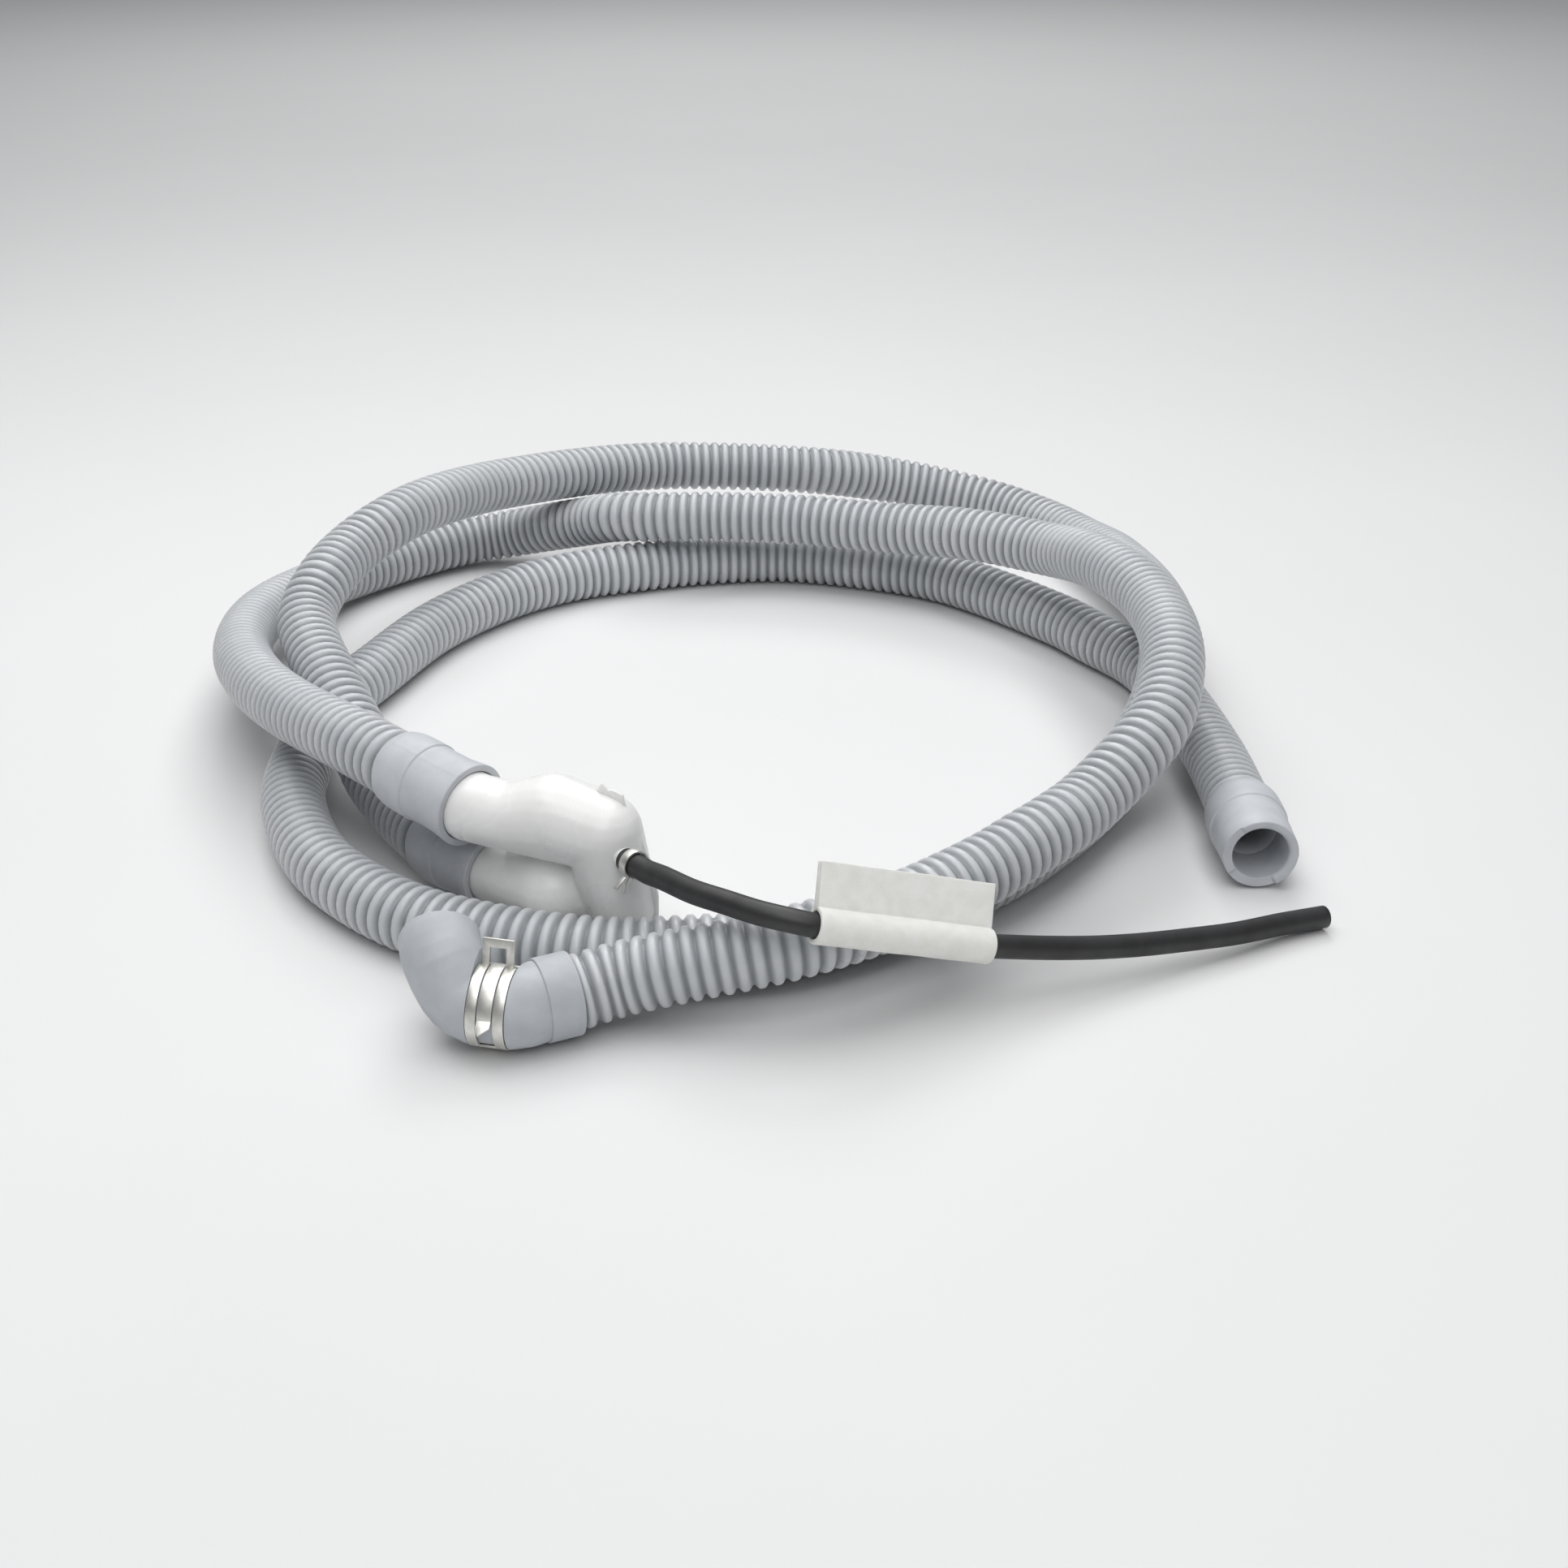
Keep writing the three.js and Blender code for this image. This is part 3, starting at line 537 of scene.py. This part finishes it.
def melted(piece, voxel, passes):
    """One skin round overlapping shapes, with soft inner corners; voxel in millimetres."""
    remesh = piece.modifiers.new("skin", "REMESH")
    remesh.mode = "VOXEL"
    remesh.voxel_size = voxel / 1000
    remesh.use_smooth_shade = True
    soften = piece.modifiers.new("soften", "SMOOTH")
    soften.factor = 0.5
    soften.iterations = passes
    return plain(piece)


def slab(name, outline, thick, place, edge):
    """A flat plate with a small round edge; the outline is in the local XY plane."""
    top = [place @ Vector((x, y, thick / 2)) for x, y in outline]
    bottom = [place @ Vector((x, y, -thick / 2)) for x, y in outline]
    count = len(outline)
    faces = [range(count), range(2 * count - 1, count - 1, -1)]
    for i in range(count):
        j = (i + 1) % count
        faces.append((i, j, count + j, count + i))
    piece = object_of(name, top + bottom, [tuple(face) for face in faces])
    bevel = piece.modifiers.new("edge", "BEVEL")
    bevel.width = edge / 1000
    bevel.segments = 3
    return piece


def gathered(name, pieces):
    """One mesh of several pieces, which are removed."""
    whole = bmesh.new()
    for piece in pieces:
        plain(piece).data.shade_smooth()
        piece.data.set_sharp_from_angle(angle=radians(42))
        whole.from_mesh(piece.data)
        bpy.data.objects.remove(piece)
    mesh = bpy.data.meshes.new(name)
    whole.to_mesh(mesh)
    whole.free()
    piece = bpy.data.objects.new(name, mesh)
    bpy.context.scene.collection.objects.link(piece)
    return piece


def blown_white():
    """Chamber: glossy white that lets a little light in, uneven where it cooled."""
    made, _, shader, _ = surface(
        "blown white polyethylene", "#f0f0ee", "#f6f6f4", patch=14, grain=6, relief=0.12,
        roughness=0.3,
    )
    shader.inputs["Subsurface Weight"].default_value = 0.2
    shader.inputs["Subsurface Radius"].default_value = (1, 1, 0.96)
    shader.inputs["Subsurface Scale"].default_value = 0.004
    return made




def lump(along, behind, height, radius):
    """A ball of the body, placed along and behind its upright plane."""
    return ball(BODY_ORIGIN + BODY_ALONG * along + BODY_BEHIND * behind + UP * height, radius)


upright = frame_at(BODY_ORIGIN - 2 * BODY_BEHIND, -BODY_BEHIND, BODY_ALONG)
lumps = [sum((lump(*row) for row in lobe), []) for lobe in LOBES]
for (mouth, axis), lobe in ((UPPER_PORT, LOBES[0]), (LOWER_PORT, LOBES[2])):
    port = frame_at(mouth, axis, UP)
    shoulder = disc(port, PORT_RADIUS, PORT_SHOULDER)
    lumps.append(disc(port, PORT_RADIUS, FIT - CUFF_SEAT) + shoulder)
    lumps.append(shoulder + lump(*lobe[0]))
faces_at = (-WEB_THICK / 2, WEB_THICK / 2)
lumps.append([upright @ Vector((x, y, z)) for x, y in WEB_OUTLINE for z in faces_at])
chamber = gathered(
    "air_break",
    [
        melted(hulls("body", lumps), voxel=0.8, passes=7),
        slab("flash", FLASH_OUTLINE, FLASH_THICK, upright, edge=0.35),
        turned("nipple", rounded(NIPPLE_PROFILE, 0.4), NIPPLE, 40),
    ],
)
chamber.data.materials.append(blown_white())
finished(chamber, "blown_plastic", "air_break_chamber")


# The vent tube
# A thin black rubber tube, pushed over the chamber's nipple; it leaves to the front right.

VENT_OUTER = 8.5
VENT_BORE = 5.5
VENT_ROUTE = [
    (-10.6, -231.4, 45.3), (0.6, -244.5, 47), (11.3, -253, 47.9), (21.7, -259.4, 47.7),
    (31.3, -262.6, 46.8), (39.9, -263.4, 45.1), (102, -241.7, 24.2), (121.9, -233.8, 18.9),
    (139.6, -227, 15), (157.6, -220.1, 12.1), (176.1, -212.4, 9.7), (195, -204.5, 7.7),
    (214.6, -194.5, 6), (231.4, -187.2, 4.8),
]
FELT_START, FELT_END = (Vector(VENT_ROUTE[i]) for i in (5, 6))


def extruded_rubber():
    """Vent tube: black and satin, with the faint grey bloom of old rubber."""
    return surface(
        "extruded rubber", "#262627", "#323233", patch=12, grain=0.5, relief=0.03, roughness=0.46
    )[0]


vent_line = [
    NIPPLE.translation,
    *smooth_route([NIPPLE @ Vector((0, 0, 14)), *VENT_ROUTE[:6]]),
    *smooth_route(VENT_ROUTE[6:]),
]
VENT_SIZES = {
    "Outer Radius": VENT_OUTER / 2,
    "Bore Radius": VENT_BORE / 2,
    "Rib Pitch": 10,
    "Rib Depth": 0,
    "Ring Step": 2,
    "Bore Step": 4,
}
vent = tube_along("black_tube", vent_line, extruded_rubber(), VENT_SIZES)
finished(vent, "black_rubber", "vent_tube")


# The clip on the vent tube
# A spring clip of plated steel strip round the tube, over the nipple; its two ears cross
# underneath, where pliers squeeze them to open it.

CLIP_THICK = 0.8
CLIP_WIDTH = 3.6
CLIP_EAR = 6.5
CLIP_OPEN_FROM, CLIP_OPEN_TO = 125, 155  # degrees from the top, towards the front


def strip(name, path, low, high, thick, place, edge=0.15):
    """A flat bar along a path in the local XY plane, from low to high along Z."""
    path = [Vector(point).to_3d() for point in path]
    corners = []
    for i, point in enumerate(path):
        way = (path[min(i + 1, len(path) - 1)] - path[max(i - 1, 0)]).normalized()
        out = Vector((way.y, -way.x, 0)) * thick / 2
        for side, height in ((out, low), (out, high), (-out, high), (-out, low)):
            corners.append(place @ (point + side + UP * height))
    last = 4 * len(path) - 4
    faces = [(0, 1, 2, 3), (last, last + 1, last + 2, last + 3)]
    for i in range(0, last, 4):
        for j in range(4):
            k = (j + 1) % 4
            faces.append((i + j, i + k, i + 4 + k, i + 4 + j))
    piece = object_of(name, corners, faces)
    bevel = piece.modifiers.new("edge", "BEVEL")
    bevel.width = edge / 1000
    bevel.segments = 2
    bevel.limit_method = "ANGLE"
    return piece


def arc(radius, start, end, step=4):
    """Points round the local Z axis, in degrees from X towards Y."""
    count = ceil(abs(end - start) / step)
    turns = (radians(start + (end - start) * i / count) for i in range(count + 1))
    return [(radius * cos(a), radius * sin(a)) for a in turns]


def spoke(angle, start, end):
    a = radians(angle)
    return [(start * cos(a), start * sin(a)), (end * cos(a), end * sin(a))]


def plated_steel():
    """Clip and clamp: spring steel with bright zinc, a little cloudy."""
    made, _, shader, _ = surface(
        "zinc plated steel", "#d6d5cf", "#e6e5e0", patch=4, grain=0.4, relief=0.005, roughness=0.42
    )
    shader.inputs["Metallic"].default_value = 1
    return made


steel = plated_steel()
clip_place = NIPPLE @ Matrix.Translation((0, 0, 5))
clip_inner = VENT_OUTER / 2 + FIT
clip_middle = clip_inner + CLIP_THICK / 2
clip_half = CLIP_WIDTH / 2
clip = gathered(
    "tube_clip",
    [
        strip(
            "band", arc(clip_middle, CLIP_OPEN_TO - 360, CLIP_OPEN_FROM), -clip_half, clip_half,
            CLIP_THICK, clip_place,
        ),
        strip(
            "near_ear", spoke(CLIP_OPEN_FROM, clip_inner, clip_inner + CLIP_EAR), 0, clip_half,
            CLIP_THICK, clip_place,
        ),
        strip(
            "far_ear", spoke(CLIP_OPEN_TO, clip_inner, clip_inner + CLIP_EAR), -clip_half, 0,
            CLIP_THICK, clip_place,
        ),
    ],
)
clip.data.materials.append(steel)
finished(clip, "spring_steel", "vent_tube_clip")


# The felt pad
# White needled felt, folded round the vent tube and pressed to itself in a flag that stands
# up behind the tube, so that the tube doesn't rattle against the machine.

FELT_THICK = 1.7
FELT_LIFT = 0.9  # from the tube's clearance to the middle of the felt
FELT_LAYER = 0.95  # from the fold's middle plane to the middle of either layer
FELT_FLAG = 15.5
FLAG_FOOT = 5.93  # from the tube's middle
FELT_INSET = 1.2
FELT_ROWS, FLAG_STEPS, LOOP_STEPS = 48, 14, 30
FELT_WOBBLE = 0.12
WOBBLE_SPAN = 9
FELT_EDGE = 0.3

felt_axis = (FELT_END - FELT_START).normalized()
felt_length = (FELT_END - FELT_START).length - 2 * FELT_INSET
felt_place = frame_at(FELT_START + felt_axis * FELT_INSET, felt_axis, Vector((0, 0.5, 0.87)))
felt_round = VENT_OUTER / 2 + FIT + FELT_LIFT
felt_open = asin(FELT_LAYER / felt_round)
flag_top = FLAG_FOOT + FELT_FLAG


def felt_section():
    """The fold's middle line, from one tip of the flag round the tube to the other."""
    foot = felt_round * cos(felt_open)
    drop = (flag_top - foot) / FLAG_STEPS
    half = [(flag_top - drop * i, FELT_LAYER) for i in range(FLAG_STEPS + 1)]
    start, end = felt_open, 2 * pi - felt_open
    turns = [start + (end - start) * i / LOOP_STEPS for i in range(1, LOOP_STEPS)]
    loop = [(felt_round * cos(a), felt_round * sin(a)) for a in turns]
    return half + loop + [(x, -y) for x, y in half[::-1]]


def needled_felt():
    """Felt: dull white, a mat of short fibres that catches a little grey dirt."""
    made, _, shader, _ = surface(
        "needled felt", "#f0f0ea", "#f7f7f3", patch=6, grain=0.3, relief=0.25, roughness=0.93
    )
    shader.inputs["Sheen Weight"].default_value = 0.25
    return made


section = felt_section()
corners = []
for i in range(FELT_ROWS + 1):
    z = felt_length * i / FELT_ROWS
    for x, y in section:
        wobble = noise.noise_vector(Vector((x, y, z)) / WOBBLE_SPAN) * FELT_WOBBLE
        corners.append(felt_place @ (Vector((x, y, z)) + Vector((wobble.x, 0, wobble.z))))
count = len(section)
faces = []
for i in range(FELT_ROWS):
    for j in range(count - 1):
        a = i * count + j
        faces.append((a, a + 1, a + count + 1, a + count))
pad = object_of("felt_wrap", corners, faces)
thicken = pad.modifiers.new("thick", "SOLIDIFY")
thicken.thickness = FELT_THICK / 1000
thicken.offset = 0
edge = pad.modifiers.new("edge", "BEVEL")
edge.width = FELT_EDGE / 1000
edge.segments = 2
plain(pad).data.shade_smooth()
pad.data.materials.append(needled_felt())
finished(pad, "felt", "felt_pad")


# The machine elbow
# Soft grey rubber, moulded: a collar over the short hose, a bend, a straight stretch that
# the clamp closes round, and a mouth that goes over the pump's outlet.

ELBOW_OUTER = 27.6
ELBOW_BORE = 20
ELBOW_COLLAR = 29.2
COLLAR_BORE = 26.6
CLAMP_SINK = 0.9
CLAMP_WIDTH = 13
PAST_END = 3  # how far a cut or a root runs on past its end
ELBOW_LEAD = [COLLAR_ROOT, (-54.4, -265.7, 15.5), (-58.2, -267.3, 15.3)]
CLAMP_START, CLAMP_END = Vector((-58.2, -267.3, 15.3)), Vector((-72, -264.9, 15.9))
ELBOW_TAIL = [
    CLAMP_END, (-76.6, -262.8, 18.3), (-79.8, -260.6, 22.5), (-82.3, -258.1, 27),
    (-84.3, -254.1, 30), (-85.5, -249.1, 31.8),
]


def bent(stops, radius):
    """Hulls between round sections, so that the inner side of a bend cannot fold."""
    sections = []
    for i, stop in enumerate(stops):
        way = stops[min(i + 1, len(stops) - 1)] - stops[max(i - 1, 0)]
        sections.append(disc(frame_at(stop, way.normalized(), UP), radius))
    return [a + b for a, b in zip(sections, sections[1:])]


def cut(piece, tool):
    boolean = piece.modifiers.new("cut", "BOOLEAN")
    boolean.operation = "DIFFERENCE"
    boolean.solver = "EXACT"
    boolean.object = tool
    plain(piece)
    bpy.data.objects.remove(tool)
    return piece


def soft_rubber():
    """Elbow: softer and darker than the cuffs, rubbed in places."""
    return surface(
        "soft moulded rubber", "#b3b7bc", "#bdc1c6", patch=11, grain=0.8, relief=0.03,
        roughness=0.56,
    )[0]


collar = frame_at(ELBOW_FACE, ELBOW_AXIS, UP)
collar_length = (COLLAR_ROOT - ELBOW_FACE).length
lead, tail = smooth_route(ELBOW_LEAD), smooth_route(ELBOW_TAIL)
outward_way = (tail[-1] - tail[-2]).normalized()
rubber = bent([COLLAR_ROOT - ELBOW_AXIS * PAST_END, *lead, *tail], ELBOW_OUTER / 2)
elbow = melted(hulls("elbow", rubber), voxel=0.5, passes=4)
clamp_axis = (CLAMP_END - CLAMP_START).normalized()
clamp_place = frame_at((CLAMP_START + CLAMP_END) / 2, clamp_axis, Vector((0, -1, 0)))
bed = ELBOW_OUTER / 2 - CLAMP_SINK
bed_edge = CLAMP_WIDTH / 2 + FIT
bed_profile = [(bed, -bed_edge), (2 * bed, -bed_edge), (2 * bed, bed_edge), (bed, bed_edge)]
cut(elbow, turned("bed", bed_profile, clamp_place, 96))
before, beyond = ELBOW_FACE - ELBOW_AXIS * PAST_END, tail[-1] + outward_way * PAST_END
way = bent([before, *lead, *tail, beyond], ELBOW_BORE / 2)
hose_seat = COLLAR_BORE / 2
way.append(disc(collar, hose_seat, -PAST_END) + disc(collar, hose_seat, ELBOW_SEAT))
cut(elbow, melted(hulls("way", way), voxel=0.5, passes=2))
collar_profile = [
    (hose_seat, 0), (ELBOW_COLLAR / 2, 0), (ELBOW_COLLAR / 2, collar_length),
    (hose_seat - FIT, collar_length), (hose_seat - FIT, ELBOW_SEAT), (hose_seat, ELBOW_SEAT),
]
elbow = gathered("elbow", [elbow, turned("collar", rounded(collar_profile, 0.5), collar, 120)])
elbow.data.materials.append(soft_rubber())
finished(elbow, "elbow_rubber", "machine_elbow")


# The elbow's clamp
# A band of plated spring steel, slit along its front into two rails and a tongue. The
# tongue passes through the window of an upright plate, and its tip is bent down.

CLAMP_THICK = 0.9
CLAMP_RAIL = 3.6
CLAMP_SLIT = 0.45
CLAMP_PLATE = 9.5
CLAMP_BRIDGE = 3.2
PLATE_INSET = 1
CLAMP_TANG = 5.5
SLOT_END, PLATE_AT, BAND_END, TANG_AT, TIP_BEND = -52, 102, 118, 9, -48  # degrees

band_inner = bed + FIT
band_middle = band_inner + CLAMP_THICK / 2
band_outer = band_inner + CLAMP_THICK
half = CLAMP_WIDTH / 2
tongue = half - CLAMP_RAIL - CLAMP_SLIT
window = tongue + CLAMP_SLIT
wide = half - PLATE_INSET
plate_top = band_outer + CLAMP_PLATE
sill = plate_top - CLAMP_BRIDGE
WINDOW_PLATE = [
    (band_inner, -wide), (plate_top, -wide), (plate_top, wide), (band_inner, wide),
    (band_inner, window), (sill, window), (sill, -window), (band_inner, -window),
]
TIP = [
    (-0.4, -tongue), (CLAMP_TANG * 0.45, -tongue), (CLAMP_TANG, tongue * 0.4),
    (CLAMP_TANG * 0.6, tongue), (-0.4, tongue),
]


def standing(degrees):
    """On the band at an angle, with the plate's second axis along the band's axis."""
    return clamp_place @ Matrix.Rotation(radians(degrees), 4, "Z")


lying = Matrix.Rotation(pi / 2, 4, "X")
tip_place = (
    standing(TANG_AT)
    @ Matrix.Translation((band_middle, 0, 0))
    @ Matrix.Rotation(radians(TIP_BEND), 4, "Z")
    @ lying
)
rails = [(-half, CLAMP_RAIL - half), (half - CLAMP_RAIL, half)]
bands = [
    (arc(band_middle, BAND_END, 360 + SLOT_END), -half, half),
    *((arc(band_middle, SLOT_END - 2, PLATE_AT), low, high) for low, high in rails),
    (arc(band_middle, TANG_AT, BAND_END + 2), -tongue, tongue),
]
clamp = gathered(
    "clamp",
    [
        *(strip("band", path, low, high, CLAMP_THICK, clamp_place) for path, low, high in bands),
        slab("plate", WINDOW_PLATE, CLAMP_THICK, standing(PLATE_AT) @ lying, edge=0.2),
        slab("tip", TIP, CLAMP_THICK, tip_place, edge=0.2),
    ],
)
clamp.data.materials.append(steel)
finished(clamp, "spring_steel", "elbow_clamp")


# Floor and light
# A pale seamless floor under one large soft lamp above the coil, with a weaker one in
# front, one far behind for the paper there, and a faint even light from the room.


def studio_paper():
    """Floor: plain pale paper."""
    return surface(
        "studio paper", "#e2e2e2", "#e4e4e4", patch=400, grain=2, relief=0.01, roughness=0.9
    )[0]


SPREAD = 8
floor_mesh = bpy.data.meshes.new("floor")
floor_mesh.from_pydata(
    [(-SPREAD, -SPREAD, 0), (SPREAD, -SPREAD, 0), (SPREAD, SPREAD, 0), (-SPREAD, SPREAD, 0)],
    [],
    [(0, 1, 2, 3)],
)
floor = bpy.data.objects.new("floor", floor_mesh)
floor.data.materials.append(studio_paper())
bpy.context.scene.collection.objects.link(floor)


def lamp(name, spot, target, size, power):
    data = bpy.data.lights.new(name, "AREA")
    data.size = size
    data.energy = power
    light = bpy.data.objects.new(name, data)
    light.location = spot
    light.rotation_euler = (Vector(target) - Vector(spot)).to_track_quat("-Z", "Y").to_euler()
    bpy.context.scene.collection.objects.link(light)


lamp("top lamp", (-0.12, 0.1, 1.3), (-0.05, -0.1, 0), size=1.5, power=15.5)
lamp("front lamp", (0.1, -1.3, 1.5), (0, -0.5, 0), size=1.3, power=12)
lamp("far lamp", (0, 2.4, 2.2), (0, 2.4, 0), size=1.6, power=30)

world = bpy.data.worlds.new("room")
world.use_nodes = True
world.node_tree.nodes["Background"].inputs["Color"].default_value = paint("#f4f6fa")
world.node_tree.nodes["Background"].inputs["Strength"].default_value = 0.2
bpy.context.scene.world = world
bpy.context.scene.view_settings.view_transform = "Standard"
